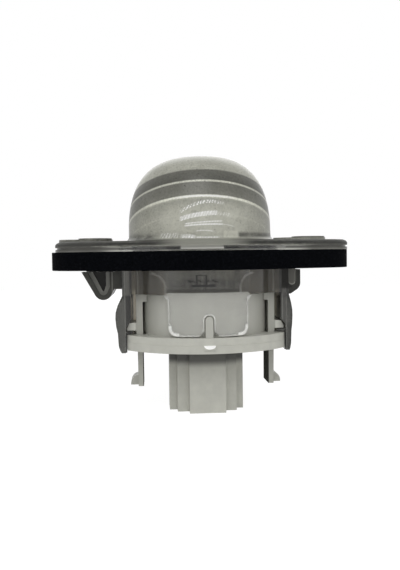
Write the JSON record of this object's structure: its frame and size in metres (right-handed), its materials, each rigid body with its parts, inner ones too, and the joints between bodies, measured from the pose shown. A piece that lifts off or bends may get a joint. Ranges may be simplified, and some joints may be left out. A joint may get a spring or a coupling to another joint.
{
  "type": "number plate lamp",
  "caption": "Car number plate lamp with a clear ringed dome, foam gasket, clear clip housing and a grey bulb holder with latch arms and a connector shell.",
  "frame": {"origin": "middle of the two screw holes, on the underside of the gasket, which is the plane that seats on the car's panel", "axes": "+Z out of the panel through the dome, +X along the flange towards the round lug, -Y towards the tongue and the key rib"},
  "size_m": [0.0718, 0.0418, 0.0599],
  "materials": {
    "clear_lens": "clear moulded polycarbonate, slightly hazed and yellowed with age",
    "clear_housing": "clear moulded polycarbonate, dusty",
    "foam": "closed-cell foam, matt black",
    "holder_plastic": "satin light grey moulding",
    "contact_metal": "tinned spring brass",
    "bulb_glass": "clear blown glass",
    "cap_metal": "nickel-plated brass",
    "filament": "drawn tungsten coil",
    "lead_wire": "bare nickel wire"
  },
  "bodies": {
    "root": {"lens": "clear_lens", "lens_housing": "clear_housing", "gasket": "foam", "bulb_holder": "holder_plastic", "contact_left": "contact_metal", "contact_right": "contact_metal", "bulb_glass": "bulb_glass", "bulb_cap_left": "cap_metal", "bulb_cap_right": "cap_metal", "bulb_filament": "filament", "bulb_leads": "lead_wire"}
  },
  "joints": []
}
